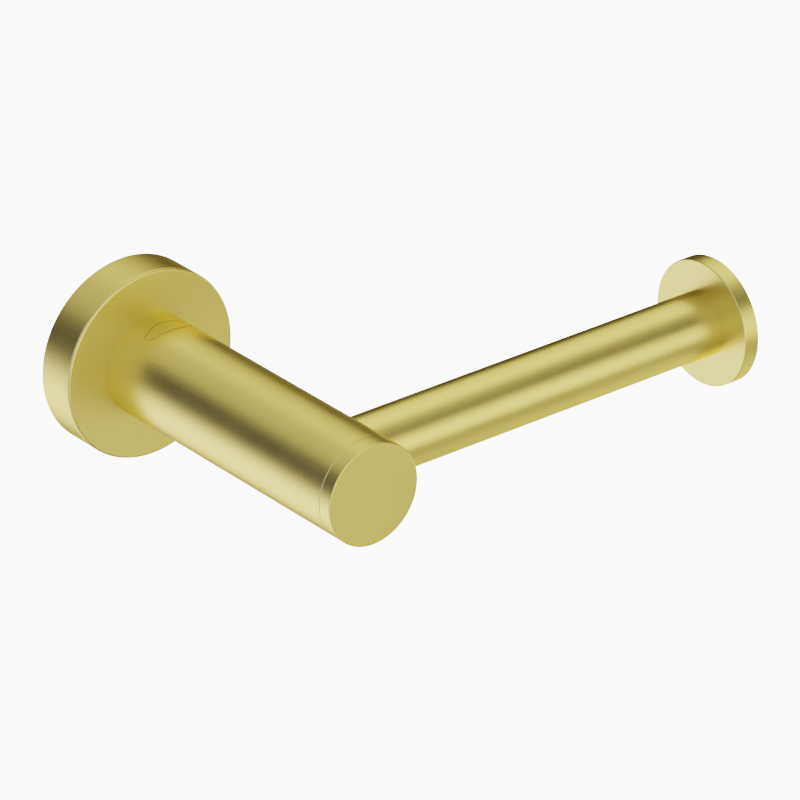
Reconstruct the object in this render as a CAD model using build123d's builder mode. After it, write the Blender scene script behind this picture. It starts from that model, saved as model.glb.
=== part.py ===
from build123d import *
import os

# Toilet paper holder for one roll: a round wall rose, a horizontal post, and an arm with an end disc.
# The wall is the plane y = 0. The post stands out of it along -Y and the arm points along +X.
# The origin is the centre of the bracket's back face, on the wall. Lengths are in millimetres.
# Plane.XZ faces -Y, so Plane.XZ.offset(d) lies d millimetres out from the wall.

# ---------------------------------------------------------------- driving dimensions
# Wall bracket
bracket_radius = 24.7
bracket_thickness = 6.0
bracket_flat_z = -22.5
bracket_relief_radius = 8.5
screw_spacing = 32.0
screw_hole_radius = 2.6
countersink_radius = 4.6
countersink_angle = 90
bracket_edge = 0.4

# Rose: the round cover that the post is bolted to
rose_radius = 28.25
rose_depth = 12.6
rose_bore_radius = 25.0
rose_plate = 3.2
rose_edge = 0.7
rose_back_edge = 0.3
rose_recess_depth = 1.0
set_screw_y = 3.2
set_screw_radius = 2.0
set_screw_clearance = 0.05
set_screw_length = 5.0
set_screw_tip_radius = 1.2
set_screw_socket = 2.0

# Post
post_radius = 15.0
post_inner_radius = 13.0
post_length = 112.0
cap_rim = 4.4
cap_spigot = 5.4
cap_spigot_wall = 2.5
seam_chamfer = 0.15
post_edge = 0.3
base_plug_length = 16.0
m8_radius = 4.0
m8_clearance_radius = 4.2
m8_head_radius = 7.0
m8_head_height = 4.4
m8_socket = 5.0
m8_socket_depth = 2.6
m8_reach = 26.0
washer_thickness = 1.6
washer_slit = 0.8
pin_radius = 1.5
pin_offset = 9.0
pin_start = 9.7
pin_length = 7.9

# Engraved oval on top of the post, a plain decoration
mark_out = 21.0
mark_width = 16.0
mark_height = 6.4
mark_line = 0.8
mark_depth = 0.25

# Arm
arm_out = 89.6
arm_radius = 9.5
arm_inner_radius = 8.0
arm_end = 135.6
arm_seat_x = 9.0
socket_length = 24.0
socket_bore_radius = 6.0
socket_bore_x = -7.0
spigot_start = -6.5
spigot_end = 26.0
m6_radius = 3.0
m6_socket = 3.0
m6_socket_depth = 3.0
dimple_depth = 0.7
end_plug_length = 16.0
stud_start = 122.0

# End disc
disc_radius = 18.8
disc_thickness = 5.0
disc_edge = 0.3
disc_hole_depth = 3.0

# ---------------------------------------------------------------- worked-out values
cup_depth = rose_depth - rose_plate
seam_out = post_length - cap_rim
base_plug_out = rose_depth - rose_recess_depth
bracket_front = Plane.XZ.offset(bracket_thickness)
rose_front = Plane.XZ.offset(rose_depth)
arm_plane = Plane(origin=(0, -arm_out, 0), x_dir=(0, 1, 0), z_dir=(1, 0, 0))
socket_front = arm_out + socket_length / 2
dimple_floor = arm_out + socket_bore_radius - dimple_depth
hex_corner = 2 / 3 ** 0.5

os.makedirs("parts", exist_ok=True)


def finish(piece, name):
    """Label one finished piece and write it as its own file."""
    piece.part.label = name
    export_step(piece.part, f"parts/{name}.step")


# ---------------------------------------------------------------- wall side
# Steel disc that two countersunk screws hold to the wall. The flat along its lower edge faces the
# rose's set screw, and the hole in the middle clears the head of the post's screw.
with BuildPart() as wall_bracket:
    with BuildSketch(Plane.XZ):
        Circle(bracket_radius)
        with Locations((0, bracket_flat_z)):
            Rectangle(2 * bracket_radius, bracket_radius, align=(Align.CENTER, Align.MAX), mode=Mode.SUBTRACT)
        Circle(bracket_relief_radius, mode=Mode.SUBTRACT)
    extrude(amount=bracket_thickness)
    chamfer(wall_bracket.faces().sort_by(Axis.Y)[0].outer_wire().edges(), length=bracket_edge)
    with Locations(bracket_front):
        with GridLocations(screw_spacing, 0, 2, 1):
            CounterSinkHole(screw_hole_radius, countersink_radius, counter_sink_angle=countersink_angle)
finish(wall_bracket, "wall_bracket")

# ---------------------------------------------------------------- rose and its screws
# Turned cup that hides the bracket. The set screw's hole is in the underside of its wall.
with BuildPart() as rose:
    with BuildSketch(Plane.XZ):
        Circle(rose_radius)
    extrude(amount=rose_depth)
    with BuildSketch(Plane.XZ):
        Circle(rose_bore_radius)
    extrude(amount=cup_depth, mode=Mode.SUBTRACT)
    with Locations(rose_front):
        CounterBoreHole(m8_clearance_radius, post_inner_radius, rose_recess_depth)
        with Locations((0, pin_offset)):
            Hole(pin_radius)
    with Locations(Plane(origin=(0, -set_screw_y, -rose_radius - 1), z_dir=(0, 0, -1))):
        Hole(set_screw_radius + set_screw_clearance, depth=rose_radius - rose_bore_radius + 2)
    rim_edges = rose.edges().filter_by(GeomType.CIRCLE).group_by(SortBy.RADIUS)[-1].sort_by(Axis.Y)
    fillet(rim_edges[0], radius=rose_edge)
    chamfer(rim_edges[-1], length=rose_back_edge)
finish(rose, "rose")

# Grub screw that clamps the rose to the bracket's flat
with BuildPart() as set_screw:
    with BuildSketch(Plane(origin=(0, -set_screw_y, bracket_flat_z), z_dir=(0, 0, -1))):
        Circle(set_screw_radius)
    extrude(amount=set_screw_length)
    chamfer(set_screw.edges().sort_by(Axis.Z)[-1], length=set_screw_radius - set_screw_tip_radius)
    with BuildSketch(Plane(origin=(0, -set_screw_y, bracket_flat_z - set_screw_length), z_dir=(0, 0, 1))):
        RegularPolygon(set_screw_socket / 2 * hex_corner, 6)
    extrude(amount=set_screw_socket, mode=Mode.SUBTRACT)
finish(set_screw, "set_screw")

# Button-head screw that pulls the post onto the rose
with BuildPart() as post_screw:
    with BuildSketch(Plane.XZ.offset(cup_depth - washer_thickness - m8_head_height)):
        Circle(m8_head_radius)
    extrude(amount=m8_head_height)
    fillet(post_screw.edges().sort_by(Axis.Y)[-1], radius=m8_head_height / 2)
    with BuildSketch(Plane.XZ.offset(cup_depth - washer_thickness)):
        Circle(m8_radius)
    extrude(amount=m8_reach - cup_depth + washer_thickness)
    chamfer(post_screw.edges().sort_by(Axis.Y)[0], length=m8_radius / 5)
    with BuildSketch(Plane.XZ.offset(cup_depth - washer_thickness - m8_head_height)):
        RegularPolygon(m8_socket / 2 * hex_corner, 6)
    extrude(amount=m8_socket_depth, mode=Mode.SUBTRACT)
finish(post_screw, "post_screw")

# Split washer under the screw's head
with BuildPart() as spring_washer:
    with BuildSketch(Plane.XZ.offset(cup_depth - washer_thickness)):
        Circle(m8_head_radius)
        Circle(m8_clearance_radius, mode=Mode.SUBTRACT)
        with Locations((m8_head_radius, 0)):
            Rectangle(2 * m8_head_radius, washer_slit, mode=Mode.SUBTRACT)
    extrude(amount=washer_thickness)
finish(spring_washer, "spring_washer")

# Pin that stops the post from turning on the rose
with BuildPart() as anti_rotation_pin:
    with BuildSketch(Plane.XZ.offset(pin_start)):
        with Locations((0, pin_offset)):
            Circle(pin_radius)
    extrude(amount=pin_length)
finish(anti_rotation_pin, "anti_rotation_pin")

# ---------------------------------------------------------------- post
# Cutter for the engraved oval: a ring seen from above, limited to a thin skin of the tube
with BuildPart() as mark_cutter:
    with BuildSketch(Plane.XY.offset(post_radius - post_inner_radius)):
        with Locations((0, -mark_out)):
            Ellipse(mark_width / 2, mark_height / 2)
            Ellipse(mark_width / 2 - mark_line, mark_height / 2 - mark_line, mode=Mode.SUBTRACT)
    extrude(amount=post_radius)
    with BuildSketch(Plane.XZ):
        Circle(post_radius + 1)
        Circle(post_radius - mark_depth, mode=Mode.SUBTRACT)
    extrude(amount=post_length, mode=Mode.INTERSECT)

# Tube with a side hole for the arm
with BuildPart() as post_tube:
    with BuildSketch(rose_front):
        Circle(post_radius)
        Circle(post_inner_radius, mode=Mode.SUBTRACT)
    extrude(amount=seam_out - rose_depth)
    seam_edges = post_tube.edges().filter_by(GeomType.CIRCLE).group_by(SortBy.RADIUS)[-1].sort_by(Axis.Y)
    chamfer(seam_edges[0], length=seam_chamfer)
    with BuildSketch(arm_plane):
        Circle(arm_radius)
    extrude(amount=post_radius, mode=Mode.SUBTRACT)
    add(mark_cutter.part, mode=Mode.SUBTRACT)
finish(post_tube, "post_tube")

# Threaded plug pressed into the wall end of the tube and into the rose's recess
with BuildPart() as post_base_plug:
    with BuildSketch(Plane.XZ.offset(base_plug_out)):
        Circle(post_inner_radius)
        Circle(m8_radius, mode=Mode.SUBTRACT)
    extrude(amount=base_plug_length)
    with BuildSketch(Plane.XZ.offset(base_plug_out)):
        with Locations((0, pin_offset)):
            Circle(pin_radius)
    extrude(amount=pin_start + pin_length - base_plug_out, mode=Mode.SUBTRACT)
finish(post_base_plug, "post_base_plug")

# Cap that closes the front of the post, with a hollow spigot inside the tube
with BuildPart() as end_cap:
    with BuildSketch(Plane.XZ.offset(seam_out)):
        Circle(post_radius)
    extrude(amount=cap_rim)
    cap_edges = end_cap.edges().filter_by(GeomType.CIRCLE).sort_by(Axis.Y)
    fillet(cap_edges[0], radius=post_edge)
    chamfer(cap_edges[-1], length=seam_chamfer)
    with BuildSketch(Plane.XZ.offset(seam_out)):
        Circle(post_inner_radius)
        Circle(post_inner_radius - cap_spigot_wall, mode=Mode.SUBTRACT)
    extrude(amount=-cap_spigot)
finish(end_cap, "end_cap")

# ---------------------------------------------------------------- arm joint inside the post
# Cross block in the tube: the arm's spigot enters from the side and a grub screw locks it from the front
with BuildPart() as arm_socket:
    with BuildSketch(Plane.XZ.offset(arm_out - socket_length / 2)):
        Circle(post_inner_radius)
    extrude(amount=socket_length)
    with BuildSketch(arm_plane.offset(socket_bore_x)):
        Circle(socket_bore_radius)
    extrude(amount=2 * post_inner_radius, mode=Mode.SUBTRACT)
    with BuildSketch(arm_plane.offset(arm_seat_x)):
        Circle(arm_radius)
    extrude(amount=post_inner_radius, mode=Mode.SUBTRACT)
    with Locations(Plane.XZ.offset(socket_front)):
        Hole(m6_radius, depth=socket_length / 2)
finish(arm_socket, "arm_socket")

# Cone-point grub screw in the cross block
with BuildPart() as arm_lock_screw:
    with BuildSketch(Plane.XZ.offset(dimple_floor)):
        Circle(m6_radius)
    extrude(amount=socket_front - dimple_floor)
    chamfer(arm_lock_screw.edges().sort_by(Axis.Y)[-1], length=m6_radius - dimple_depth)
    with BuildSketch(Plane.XZ.offset(socket_front)):
        RegularPolygon(m6_socket / 2 * hex_corner, 6)
    extrude(amount=-m6_socket_depth, mode=Mode.SUBTRACT)
finish(arm_lock_screw, "arm_lock_screw")

# Stepped spigot: the thin end sits in the cross block and the thick end fills the arm tube
with BuildPart() as arm_spigot:
    with BuildSketch(arm_plane.offset(spigot_start)):
        Circle(socket_bore_radius)
    extrude(amount=arm_seat_x - spigot_start)
    with BuildSketch(arm_plane.offset(arm_seat_x)):
        Circle(arm_inner_radius)
    extrude(amount=spigot_end - arm_seat_x)
    add(arm_lock_screw.part, mode=Mode.SUBTRACT)
finish(arm_spigot, "arm_spigot")

# ---------------------------------------------------------------- arm and end disc
with BuildPart() as arm_tube:
    with BuildSketch(arm_plane.offset(arm_seat_x)):
        Circle(arm_radius)
        Circle(arm_inner_radius, mode=Mode.SUBTRACT)
    extrude(amount=arm_end - arm_seat_x)
finish(arm_tube, "arm_tube")

# Threaded plug in the free end of the arm
with BuildPart() as arm_end_plug:
    with BuildSketch(arm_plane.offset(arm_end - end_plug_length)):
        Circle(arm_inner_radius)
        Circle(m6_radius, mode=Mode.SUBTRACT)
    extrude(amount=end_plug_length)
finish(arm_end_plug, "arm_end_plug")

# Headless stud between the plug and the disc
with BuildPart() as disc_stud:
    with BuildSketch(arm_plane.offset(stud_start)):
        Circle(m6_radius)
    extrude(amount=arm_end + disc_hole_depth - stud_start)
finish(disc_stud, "disc_stud")

# Flat disc that keeps the roll on the arm
with BuildPart() as end_disc:
    with BuildSketch(arm_plane.offset(arm_end)):
        Circle(disc_radius)
    extrude(amount=disc_thickness)
    fillet(end_disc.edges().filter_by(GeomType.CIRCLE), radius=disc_edge)
    with BuildSketch(arm_plane.offset(arm_end)):
        Circle(m6_radius)
    extrude(amount=disc_hole_depth, mode=Mode.SUBTRACT)
finish(end_disc, "end_disc")
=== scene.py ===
import math

import bmesh
import bpy
from mathutils import Matrix, Vector


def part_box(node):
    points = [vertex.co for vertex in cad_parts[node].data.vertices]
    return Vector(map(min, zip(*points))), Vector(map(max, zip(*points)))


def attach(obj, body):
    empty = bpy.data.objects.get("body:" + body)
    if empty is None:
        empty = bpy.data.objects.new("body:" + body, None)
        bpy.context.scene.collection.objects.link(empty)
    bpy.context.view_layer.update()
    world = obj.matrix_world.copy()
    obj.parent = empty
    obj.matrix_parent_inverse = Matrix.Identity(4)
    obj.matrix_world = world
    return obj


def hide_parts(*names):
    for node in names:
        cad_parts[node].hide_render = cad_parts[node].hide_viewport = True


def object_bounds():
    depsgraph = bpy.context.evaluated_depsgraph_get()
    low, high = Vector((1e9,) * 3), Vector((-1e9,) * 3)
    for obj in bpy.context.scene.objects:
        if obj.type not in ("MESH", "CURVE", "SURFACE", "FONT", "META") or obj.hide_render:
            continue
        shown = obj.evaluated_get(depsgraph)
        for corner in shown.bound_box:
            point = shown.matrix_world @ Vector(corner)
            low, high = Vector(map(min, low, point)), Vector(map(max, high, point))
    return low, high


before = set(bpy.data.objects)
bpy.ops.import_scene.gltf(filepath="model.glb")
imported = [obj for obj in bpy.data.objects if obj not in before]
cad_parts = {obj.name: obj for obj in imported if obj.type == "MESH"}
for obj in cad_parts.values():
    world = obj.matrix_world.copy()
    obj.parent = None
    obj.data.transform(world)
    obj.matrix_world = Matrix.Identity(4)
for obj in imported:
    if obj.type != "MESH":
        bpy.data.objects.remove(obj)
cad_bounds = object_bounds()

MM = 0.001
ORIGIN = (0.0, 0.0, 0.0)
OUT = (0.0, 1.0, 0.0)
SIDE = (1.0, 0.0, 0.0)

WHITE = (1.0, 1.0, 1.0, 1.0)
BRASS = (0.82, 0.70, 0.34, 1.0)
POLISHED_BRASS = (0.87, 0.78, 0.47, 1.0)
BRASS_GRAZING = (1.0, 0.93, 0.66, 1.0)
TURNED_BRASS = (0.75, 0.60, 0.25, 1.0)
ZINC = (0.58, 0.61, 0.74, 1.0)
STEEL = (0.52, 0.55, 0.66, 1.0)
BLACK_OXIDE = (0.06, 0.06, 0.065, 1.0)

# grain and noise: cycles per metre
BRUSHING_ALONG = 30.0
BRUSHING_ACROSS = 5000.0
FACE_RINGS = 4500.0
SMUDGES = 60.0
EDGE_WEAR = 220.0
SCUFFS = 700.0
MOTTLE = 1500.0
TURNING_MARKS = 3000.0
BRACKET_MARKS = 2500.0
ZINC_MARKS = 4000.0

# roughness, and what is added to it or taken from it
SATIN = 0.30
GRAIN_SPREAD = 0.02
SMUDGE_SPREAD = 0.012
EDGE_POLISH = 0.07
ROSE_FACE_DULLING = 0.10
DISC_FACE_DULLING = 0.02
TURNED = 0.24
PLATED = 0.3
BRACKET_SATIN = 0.36
RING_SPREAD = 0.05
SCUFF_SPREAD = 0.03

# relief: depth in metres and strength
SATIN_RELIEF = (0.00002, 0.1)
TURNED_RELIEF = (0.00003, 0.25)
OXIDE_RELIEF = (0.00002, 0.2)


# ---------------------------------------------------------------- shader helpers
class Tree:
    """A thin wrapper round a node tree, so that materials read as formulas."""

    def __init__(self, tree):
        self.tree = tree
        tree.nodes.clear()

    def node(self, kind, **settings):
        made = self.tree.nodes.new(kind)
        for name, value in settings.items():
            setattr(made, name, value)
        return made

    def put(self, socket, value):
        if isinstance(value, bpy.types.NodeSocket):
            self.tree.links.new(value, socket)
        else:
            socket.default_value = value

    def math(self, operation, *values):
        made = self.node("ShaderNodeMath", operation=operation)
        for socket, value in zip(made.inputs, values):
            self.put(socket, value)
        return made.outputs[0]

    def vector(self, operation, *values):
        made = self.node("ShaderNodeVectorMath", operation=operation)
        for socket, value in zip(made.inputs, values):
            self.put(socket, value)
        return made.outputs["Value" if operation in ("DOT_PRODUCT", "LENGTH") else "Vector"]

    def triple(self, x, y, z):
        made = self.node("ShaderNodeCombineXYZ")
        for socket, value in zip(made.inputs, (x, y, z)):
            self.put(socket, value)
        return made.outputs[0]

    def noise(self, place, scale, detail=2.0):
        made = self.node("ShaderNodeTexNoise")
        self.put(made.inputs["Vector"], place)
        made.inputs["Scale"].default_value = scale
        made.inputs["Detail"].default_value = detail
        return made.outputs["Fac"]

    def ramp(self, value, low, high, out_low=0.0, out_high=1.0):
        made = self.node("ShaderNodeMapRange", clamp=True)
        self.put(made.inputs["Value"], value)
        self.put(made.inputs["From Min"], low)
        self.put(made.inputs["From Max"], high)
        self.put(made.inputs["To Min"], out_low)
        self.put(made.inputs["To Max"], out_high)
        return made.outputs["Result"]

    def between(self, kind, first_socket, result_socket, amount, first, second):
        made = self.node("ShaderNodeMix", data_type=kind)
        self.put(made.inputs[0], amount)
        self.put(made.inputs[first_socket], first)
        self.put(made.inputs[first_socket + 1], second)
        return made.outputs[result_socket]

    def mix(self, amount, first, second):
        """Between two numbers, which are a mix node's sockets 2 and 3."""
        return self.between("FLOAT", 2, 0, amount, first, second)

    def blend(self, amount, first, second):
        """Between two colours, which are a mix node's sockets 6 and 7."""
        return self.between("RGBA", 6, 2, amount, first, second)


def new_material(name):
    material = bpy.data.materials.new(name)
    material.use_nodes = True
    return material, Tree(material.node_tree)


def metal_surface(tree, color, roughness, height, relief, grazing=WHITE):
    """The metal shader itself, with bump from a height in 0 to 1 and a tint at grazing angles.
    The relief is the bump's depth in metres and its strength."""
    bump = tree.node("ShaderNodeBump")
    bump.inputs["Distance"].default_value = relief[0]
    bump.inputs["Strength"].default_value = relief[1]
    tree.put(bump.inputs["Height"], height)
    shader = tree.node("ShaderNodeBsdfPrincipled")
    shader.inputs["Metallic"].default_value = 1.0
    shader.inputs["Specular Tint"].default_value = grazing
    tree.put(shader.inputs["Base Color"], color)
    tree.put(shader.inputs["Roughness"], roughness)
    tree.put(shader.inputs["Normal"], bump.outputs["Normal"])
    output = tree.node("ShaderNodeOutputMaterial")
    tree.put(output.inputs["Surface"], shader.outputs["BSDF"])


def shade_of(color, factor):
    """The colour made darker or lighter, never past white."""
    return tuple(min(factor * c, 1.0) for c in color[:3]) + (1.0,)


def worn_edge(tree, radius):
    """1 within the radius of a sharp edge, 0 on open faces."""
    rounded = tree.node("ShaderNodeBevel", samples=4)
    rounded.inputs["Radius"].default_value = radius
    flat = tree.node("ShaderNodeNewGeometry").outputs["Normal"]
    agreement = tree.vector("DOT_PRODUCT", rounded.outputs["Normal"], flat)
    return tree.ramp(agreement, 0.97, 0.80)


def across_the_axis(tree, axis):
    """1 on flat faces that stand across the axis, 0 on the round faces along it."""
    normal = tree.node("ShaderNodeTexCoord").outputs["Normal"]
    facing = tree.math("ABSOLUTE", tree.vector("DOT_PRODUCT", normal, axis))
    return tree.ramp(facing, 0.6, 0.95)


def lay_of_the_grain(tree, axis, middle, end_face):
    """Height of fine marks: lengthwise brushing on round faces, faint turned rings on end faces."""
    place = tree.vector("SUBTRACT", tree.node("ShaderNodeTexCoord").outputs["Object"], middle)
    stretch = tuple(BRUSHING_ALONG if a else BRUSHING_ACROSS for a in axis)
    brushing = tree.noise(tree.vector("MULTIPLY", place, stretch), 1.0, detail=3.0)
    across = tree.vector("MULTIPLY", place, tuple(1.0 - a for a in axis))
    from_axis = tree.math("MULTIPLY", tree.vector("LENGTH", across), FACE_RINGS)
    rings = tree.noise(tree.triple(from_axis, 0.0, 0.0), 1.0, detail=1.0)
    faint_rings = tree.ramp(rings, 0.0, 1.0, 0.42, 0.58)
    return tree.mix(end_face, brushing, faint_rings)


# ---------------------------------------------------------------- materials
def satin_brass(name, axis, middle, face_dulling):
    """Satin brass with brushing along the axis, duller end faces, smudges and polished edges."""
    material, tree = new_material(name)
    end_face = across_the_axis(tree, axis)
    grain = lay_of_the_grain(tree, axis, middle, end_face)
    place = tree.node("ShaderNodeTexCoord").outputs["Object"]
    smudge = tree.noise(place, SMUDGES, detail=4.0)
    patchy = tree.ramp(tree.noise(place, EDGE_WEAR), 0.35, 0.65, 0.3, 1.0)
    edge = tree.math("MULTIPLY", worn_edge(tree, 0.25 * MM), patchy)
    brushed = tree.ramp(grain, 0.3, 0.7, SATIN - GRAIN_SPREAD, SATIN + GRAIN_SPREAD)
    handled = tree.ramp(smudge, 0.35, 0.65, -SMUDGE_SPREAD, SMUDGE_SPREAD)
    satin = tree.math("ADD", brushed, handled)
    satin = tree.math("ADD", satin, tree.math("MULTIPLY", end_face, face_dulling))
    roughness = tree.math("SUBTRACT", satin, tree.math("MULTIPLY", edge, EDGE_POLISH))
    tone = tree.ramp(tree.math("ADD", grain, smudge), 0.7, 1.3)
    body = tree.blend(tone, shade_of(BRASS, 0.965), shade_of(BRASS, 1.01))
    color = tree.blend(tree.math("MULTIPLY", edge, 0.3), body, POLISHED_BRASS)
    metal_surface(tree, color, roughness, grain, SATIN_RELIEF, BRASS_GRAZING)
    return material


def machined_metal(name, axis, middle, base, roughness, ring_scale):
    """Bare turned metal: rings across the axis, small scuffs and brighter edges."""
    material, tree = new_material(name)
    place = tree.vector("SUBTRACT", tree.node("ShaderNodeTexCoord").outputs["Object"], middle)
    across = tree.vector("MULTIPLY", place, tuple(1.0 - a for a in axis))
    along = tree.vector("DOT_PRODUCT", place, axis)
    ring_x = tree.math("MULTIPLY", tree.vector("LENGTH", across), ring_scale)
    ring_y = tree.math("MULTIPLY", along, ring_scale)
    rings = tree.noise(tree.triple(ring_x, ring_y, 0.0), 1.0)
    scuffs = tree.noise(place, SCUFFS, detail=4.0)
    edge = worn_edge(tree, 0.2 * MM)
    color = tree.blend(scuffs, shade_of(base, 0.86), shade_of(base, 1.06))
    bright = tree.blend(tree.math("MULTIPLY", edge, 0.4), color, shade_of(base, 1.35))
    turned = tree.ramp(rings, 0.3, 0.7, roughness - RING_SPREAD, roughness + RING_SPREAD)
    scuffed = tree.ramp(scuffs, 0.3, 0.7, -SCUFF_SPREAD, SCUFF_SPREAD)
    metal_surface(tree, bright, tree.math("ADD", turned, scuffed), rings, TURNED_RELIEF)
    return material


def black_oxide(name):
    """Blackened steel with bare bright edges."""
    material, tree = new_material(name)
    place = tree.node("ShaderNodeTexCoord").outputs["Object"]
    mottle = tree.noise(place, MOTTLE, detail=4.0)
    coat = tree.blend(mottle, shade_of(BLACK_OXIDE, 0.7), shade_of(BLACK_OXIDE, 1.5))
    color = tree.blend(tree.math("MULTIPLY", worn_edge(tree, 0.12 * MM), 0.5), coat, STEEL)
    metal_surface(tree, color, tree.ramp(mottle, 0.3, 0.7, 0.36, 0.5), mottle, OXIDE_RELIEF)
    return material


# ---------------------------------------------------------------- the shells and the bracket
def middle_of(node):
    low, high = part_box(node)
    return (low + high) / 2


post_centre = tuple(middle_of("post_tube"))
arm_centre = tuple(middle_of("arm_tube"))

brass_post = satin_brass("satin_brass_post", OUT, post_centre, ROSE_FACE_DULLING)
brass_arm = satin_brass("satin_brass_arm", SIDE, arm_centre, DISC_FACE_DULLING)
turned_post = machined_metal("turned_brass_post", OUT, post_centre, TURNED_BRASS, TURNED, TURNING_MARKS)
turned_arm = machined_metal("turned_brass_arm", SIDE, arm_centre, TURNED_BRASS, TURNED, TURNING_MARKS)
bracket_steel = machined_metal("bracket_steel", OUT, ORIGIN, STEEL, BRACKET_SATIN, BRACKET_MARKS)
zinc_post = machined_metal("zinc_steel_post", OUT, ORIGIN, ZINC, PLATED, ZINC_MARKS)
zinc_arm = machined_metal("zinc_steel_arm", SIDE, arm_centre, ZINC, PLATED, ZINC_MARKS)
dark_steel = black_oxide("dark_steel")


def dress(material, *nodes):
    """The CAD nodes keep their shape and take the material."""
    for node in nodes:
        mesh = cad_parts[node].data
        mesh.materials.clear()
        mesh.materials.append(material)


dress(brass_post, "rose", "post_tube", "end_cap")
dress(brass_arm, "arm_tube", "end_disc")
dress(turned_post, "post_base_plug", "arm_socket")
dress(turned_arm, "arm_spigot", "arm_end_plug")
dress(bracket_steel, "wall_bracket")


# ---------------------------------------------------------------- turned hardware in mesh code
SEGMENTS = 72
SHARP = math.radians(32)
THREAD_STEPS = 8
THREAD_DEPTH = 0.6
M4 = (2.0, 0.7)
M6 = (3.0, 1.0)
M8 = (4.0, 1.25)


def hexagon(across_flats):
    """Radius of a hexagon's outline at an angle."""
    return lambda angle: across_flats / 2 / math.cos(angle % (math.pi / 3) - math.pi / 6)


def thread(size, start, end):
    """Stations of a helical thread between two distances, with its ends fading into the root.
    A size is the crest's radius and the pitch."""
    crest, pitch = size
    root = crest - THREAD_DEPTH * pitch
    count = max(THREAD_STEPS * round((end - start) / pitch), THREAD_STEPS)

    def station(distance):
        fade = min(1.0, (distance - start) / pitch, (end - distance) / pitch)

        def radius(angle):
            turn = (distance / pitch - angle / math.tau) % 1.0
            return root + (crest - root) * fade * (1.0 - abs(2.0 * turn - 1.0))

        return distance, radius

    return [station(start + (end - start) * i / count) for i in range(count + 1)]


def ring_of_spots(distance, radius):
    """Places round the Z axis, in metres: one where the radius is 0, else one for each segment."""
    if radius == 0:
        return [Vector((0, 0, distance * MM))]
    spots = []
    for i in range(SEGMENTS):
        angle = math.tau * i / SEGMENTS
        reach = radius(angle) if callable(radius) else radius
        spots.append(Vector((reach * math.cos(angle), reach * math.sin(angle), distance)) * MM)
    return spots


def turned_piece(origin, axis, stations):
    """A closed surface of rings round an axis. A station is a distance and a radius, in millimetres;
    a radius may depend on the angle, and 0 closes the surface to a point."""
    turn = Vector(axis).to_track_quat("Z", "X").to_matrix()
    shape = bmesh.new()
    rings = []
    for distance, radius in stations:
        spots = ring_of_spots(distance, radius)
        rings.append([shape.verts.new(Vector(origin) + turn @ spot) for spot in spots])
    for first, second in zip(rings, rings[1:]):
        for i in range(SEGMENTS):
            corners = [first[i % len(first)], first[(i + 1) % len(first)],
                       second[(i + 1) % len(second)], second[i % len(second)]]
            unlike = [c for k, c in enumerate(corners) if c not in corners[:k]]
            shape.faces.new(unlike)
    return shape


def show(name, shape, material, body, node):
    """Makes a piece of the shape, which stands for the CAD node and rides on its body."""
    mesh = bpy.data.meshes.new(name)
    bmesh.ops.recalc_face_normals(shape, faces=shape.faces)
    shape.to_mesh(mesh)
    shape.free()
    mesh.shade_smooth()
    mesh.set_sharp_from_angle(angle=SHARP)
    mesh.materials.append(material)
    piece = bpy.data.objects.new(name, mesh)
    bpy.context.scene.collection.objects.link(piece)
    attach(piece, body)
    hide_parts(node)


def socket_mouth(face, across_flats, depth, rim):
    """Stations of a hexagon socket, from its floor's middle out to the flat round its mouth."""
    key = hexagon(across_flats)
    lead = hexagon(across_flats * 1.08)
    inward = math.copysign(1.0, depth)
    return [
        (face + depth + 0.25 * inward, 0),
        (face + depth, hexagon(across_flats * 0.97)),
        (face + depth - 0.1 * inward, key),
        (face + 0.12 * inward, key),
        (face, lead),
        (face, rim),
    ]


def grub_screw():
    """M4 grub screw with a cup point against the bracket's flat and a hexagon socket at its outer end."""
    low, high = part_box("set_screw")
    centre = middle_of("set_screw")
    length = (high.z - low.z) / MM
    stations = [(0.3, 0), (0.28, 0.45), (0.0, 0.8), (0.0, 1.1), (0.1, 1.2), (0.5, 1.5)]
    stations += thread(M4, 0.6, length - 0.25)
    stations += [(length - 0.2, 1.62), (length, 1.5)]
    stations += socket_mouth(length, 2.0, -2.0, 1.45)[::-1]
    shape = turned_piece((centre.x, centre.y, high.z), (0, 0, -1), stations)
    show("grub_screw", shape, dark_steel, "set_screw", "set_screw")


def button_screw():
    """M8 button-head screw: domed head towards the wall and its thread in the post's plug."""
    low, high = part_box("post_screw")
    length = (high.y - low.y) / MM
    dome = 2.2
    head = 4.4
    seat = 7.0
    dome_steps = 8
    stations = socket_mouth(0.0, 5.0, 2.6, seat - dome - 0.6)
    stations += [(0.0, seat - dome)]
    for step in range(1, dome_steps + 1):
        tilt = math.pi / 2 * step / dome_steps
        stations.append((dome - dome * math.cos(tilt), seat - dome + dome * math.sin(tilt)))
    stations += [(head - 0.3, seat), (head, seat - 0.3)]
    stations += [(head, 4.2), (head + 0.2, 4.0), (head + 1.8, 4.0)]
    stations += thread(M8, head + 2.2, length - 0.9)
    stations += [(length, 3.2), (length, 0)]
    shape = turned_piece((0, high.y, 0), (0, -1, 0), stations)
    show("button_screw", shape, zinc_post, "holder", "post_screw")


def dowel_pin():
    """Steel dowel with one domed and one chamfered end."""
    low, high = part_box("anti_rotation_pin")
    centre = middle_of("anti_rotation_pin")
    length = (high.y - low.y) / MM
    stations = [(0, 0), (0.05, 0.7), (0.3, 1.25), (0.6, 1.5)]
    stations += [(length - 0.5, 1.5), (length, 1.15), (length, 0)]
    shape = turned_piece((centre.x, high.y, centre.z), (0, -1, 0), stations)
    show("dowel_pin", shape, zinc_post, "holder", "anti_rotation_pin")


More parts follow.
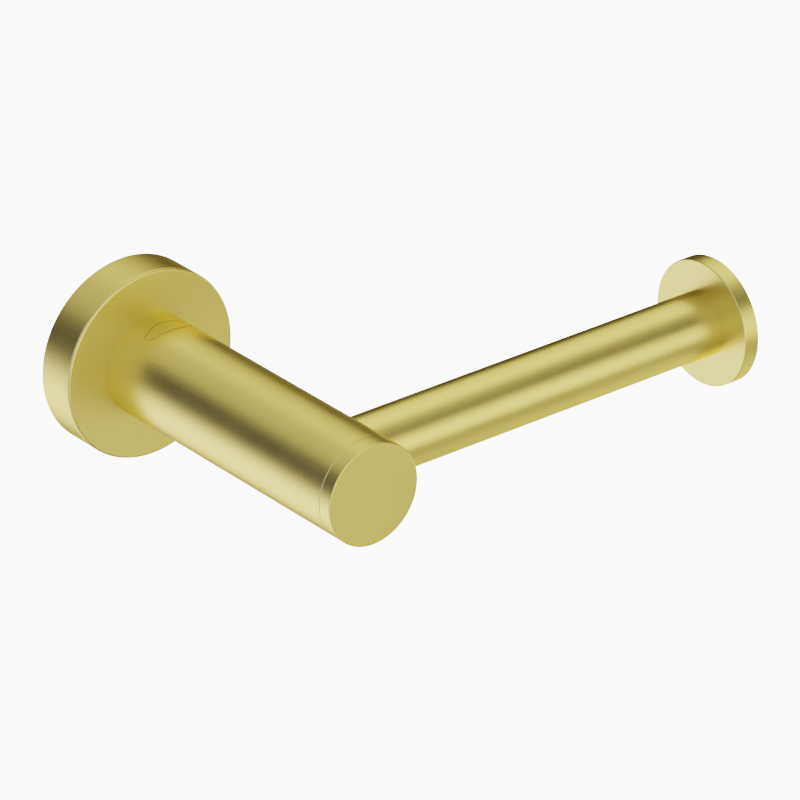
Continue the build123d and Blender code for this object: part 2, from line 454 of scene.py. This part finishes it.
def cone_screw():
    """M6 grub screw whose cone sits in the spigot and whose socket faces the cap."""
    low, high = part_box("arm_lock_screw")
    centre = middle_of("arm_lock_screw")
    length = (high.y - low.y) / MM
    stations = [(0, 0), (0.0, 0.65), (2.2, 2.4)]
    stations += thread(M6, 2.4, length - 0.3)
    stations += [(length - 0.2, 2.5), (length, 2.4)]
    stations += socket_mouth(length, 3.0, -3.0, 2.3)[::-1]
    shape = turned_piece((centre.x, high.y, centre.z), (0, -1, 0), stations)
    show("cone_screw", shape, dark_steel, "holder", "arm_lock_screw")


def threaded_stud():
    """Headless M6 stud between the arm's plug and the disc."""
    low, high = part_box("disc_stud")
    centre = middle_of("disc_stud")
    length = (high.x - low.x) / MM
    stations = [(0, 0), (0.0, 2.1), (0.4, 2.4)]
    stations += thread(M6, 0.5, length - 0.5)
    stations += [(length - 0.4, 2.4), (length, 2.1), (length, 0)]
    shape = turned_piece((low.x, centre.y, centre.z), (1, 0, 0), stations)
    show("threaded_stud", shape, zinc_arm, "holder", "disc_stud")


def split_washer():
    """Spring washer: a bar of bevelled section bent once round, with its two cut ends a little apart."""
    outer_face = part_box("spring_washer")[1].y
    inner = 4.2
    outer = 7.0
    thick = 1.3
    rise = 0.3
    soft = 0.15
    section = [(inner + soft, 0), (outer - soft, 0), (outer, soft), (outer, thick - soft),
               (outer - soft, thick), (inner + soft, thick), (inner, thick - soft), (inner, soft)]
    gap = 0.4 / outer
    steps = 96
    shape = bmesh.new()
    loops = []
    for step in range(steps + 1):
        angle = gap + (math.tau - 2 * gap) * step / steps
        lift = rise * step / steps
        loop = []
        for reach, depth in section:
            x = reach * MM * math.cos(angle)
            z = reach * MM * math.sin(angle)
            loop.append(shape.verts.new((x, outer_face - (depth + lift) * MM, z)))
        loops.append(loop)
    for first, second in zip(loops, loops[1:]):
        for i in range(len(section)):
            j = (i + 1) % len(section)
            shape.faces.new((first[i], first[j], second[j], second[i]))
    shape.faces.new(loops[0])
    shape.faces.new(loops[-1])
    show("split_washer", shape, zinc_post, "holder", "spring_washer")


grub_screw()
button_screw()
split_washer()
dowel_pin()
cone_screw()
threaded_stud()


# ---------------------------------------------------------------- studio
AMBIENT = 0.026
PALE = 4.2
FLOOR_HEIGHT = -0.65
FLOOR_REACH = 6.0
WARM = (1.0, 0.966, 0.62)
BRIGHT = (1.0, 0.975, 0.80)
COOL = (1.0, 1.07, 1.20)
# azimuth from +X towards +Y and elevation in degrees, half width in degrees, strength
WARM_LIGHTS = {
    "top_right": (33.7, 47.8, 27.4, 0.93),
    "right": (-56.2, 4.0, 21.5, 1.05),
    "top_back": (100.7, 48.3, 25.8, 0.53),
    "front_top": (-54.3, 73.1, 32.9, 0.47),
    "right_low": (6.3, -24.0, 29.7, 1.56),
    "under": (-83.9, -46.5, 37.5, 0.45),
    "front": (-90.0, 0.0, 23.0, 1.35),
}
BRIGHT_LIGHTS = {
    "left_floor": (133.6, -46.4, 33.8, 1.47),
    "backdrop": (63.7, -18.9, 9.0, 2.3),
    "right_low_back": (50.8, -37.3, 8.3, 3.0),
}
COOL_LIGHTS = {"front_fill": (-145.3, 17.8, 58.0, 0.52)}


def direction(azimuth, elevation):
    a = math.radians(azimuth)
    e = math.radians(elevation)
    return Vector((math.cos(e) * math.cos(a), math.cos(e) * math.sin(a), math.sin(e)))


def glow_of(tree, looking, lights):
    """Summed strength of round soft lights, as a function of the direction looked in.
    Each is nearly even inside its half width, where it has half its strength, and then falls away."""
    total = 0.0
    for azimuth, elevation, half_width, strength in lights.values():
        cosine = tree.vector("DOT_PRODUCT", looking, tuple(direction(azimuth, elevation)))
        in_range = tree.math("MINIMUM", tree.math("MAXIMUM", cosine, -1.0), 1.0)
        angle = tree.math("ARCCOSINE", in_range)
        relative = tree.math("DIVIDE", angle, math.radians(half_width))
        fourth = tree.math("POWER", relative, 4.0)
        fall = tree.math("EXPONENT", tree.math("MULTIPLY", fourth, -math.log(2)))
        total = tree.math("ADD", total, tree.math("MULTIPLY", fall, strength))
    return total


def soft_studio():
    """Soft lights on a dim surround, which the metal mirrors. The camera sees plain pale instead."""
    world = bpy.data.worlds.new("studio")
    bpy.context.scene.world = world
    world.use_nodes = True
    tree = Tree(world.node_tree)
    looking = tree.vector("NORMALIZE", tree.node("ShaderNodeTexCoord").outputs["Generated"])
    warm = tree.math("ADD", glow_of(tree, looking, WARM_LIGHTS), AMBIENT)
    bright = glow_of(tree, looking, BRIGHT_LIGHTS)
    cool = glow_of(tree, looking, COOL_LIGHTS)
    light = tree.vector("MULTIPLY", warm, WARM)
    light = tree.vector("ADD", light, tree.vector("MULTIPLY", bright, BRIGHT))
    light = tree.vector("ADD", light, tree.vector("MULTIPLY", cool, COOL))
    seen = tree.node("ShaderNodeLightPath").outputs["Is Camera Ray"]
    background = tree.node("ShaderNodeBackground")
    tree.put(background.inputs["Color"], tree.blend(seen, light, (PALE, PALE, PALE, 1.0)))
    output = tree.node("ShaderNodeOutputWorld")
    tree.put(output.inputs["Surface"], background.outputs["Background"])


def pale_floor(height, reach):
    """A plain pale floor that is bright of itself, so that it stays free of shadows. It is clear
    from below and isn't mirrored in the metal."""
    mesh = bpy.data.meshes.new("floor")
    outline = ((-reach, -reach), (reach, -reach), (reach, reach), (-reach, reach))
    corners = [(x, y, height) for x, y in outline]
    mesh.from_pydata(corners, [], [(0, 1, 2, 3)])
    floor = bpy.data.objects.new("floor", mesh)
    bpy.context.scene.collection.objects.link(floor)
    material, tree = new_material("pale_floor")
    shader = tree.node("ShaderNodeBsdfPrincipled")
    shader.inputs["Base Color"].default_value = shade_of(WHITE, 0.8)
    shader.inputs["Roughness"].default_value = 0.9
    shader.inputs["Emission Color"].default_value = WHITE
    shader.inputs["Emission Strength"].default_value = PALE
    clear = tree.node("ShaderNodeBsdfTransparent")
    mix = tree.node("ShaderNodeMixShader")
    tree.put(mix.inputs[0], tree.node("ShaderNodeNewGeometry").outputs["Backfacing"])
    tree.put(mix.inputs[1], shader.outputs["BSDF"])
    tree.put(mix.inputs[2], clear.outputs["BSDF"])
    tree.put(tree.node("ShaderNodeOutputMaterial").inputs["Surface"], mix.outputs["Shader"])
    mesh.materials.append(material)
    floor.visible_glossy = False


CAMERA_AZIMUTH = math.radians(-38.6925)
CAMERA_ELEVATION = math.radians(27.1958)
CAMERA_ROLL = math.radians(-0.145)
CAMERA_DISTANCE = 1.58028
AIM_FROM_MIDDLE = Vector((-0.00446, -0.00265, -0.00959))
SENSOR_WIDTH = 36
FOCAL_LENGTH = 255.73


def main_camera():
    """A long lens from the front left, above the post."""
    level = Vector((math.cos(CAMERA_AZIMUTH), math.sin(CAMERA_AZIMUTH), 0))
    away = Vector((level.y, -level.x, 0))
    back = away * math.cos(CAMERA_ELEVATION) + Vector((0, 0, math.sin(CAMERA_ELEVATION)))
    right = level * math.cos(CAMERA_ROLL) + back.cross(level) * math.sin(CAMERA_ROLL)
    up = back.cross(right)
    low, high = (Vector(corner) for corner in cad_bounds)
    place = (low + high) / 2 + AIM_FROM_MIDDLE + back * CAMERA_DISTANCE
    turn = Matrix((right, up, back)).transposed().to_4x4()
    data = bpy.data.cameras.new("camera")
    data.sensor_width = SENSOR_WIDTH
    data.lens = FOCAL_LENGTH
    camera = bpy.data.objects.new("camera", data)
    camera.matrix_world = Matrix.Translation(place) @ turn
    bpy.context.scene.collection.objects.link(camera)
    bpy.context.scene.camera = camera


soft_studio()
pale_floor(FLOOR_HEIGHT, FLOOR_REACH)
main_camera()
view = bpy.context.scene.view_settings
view.view_transform = "Filmic"
view.look = "High Contrast"
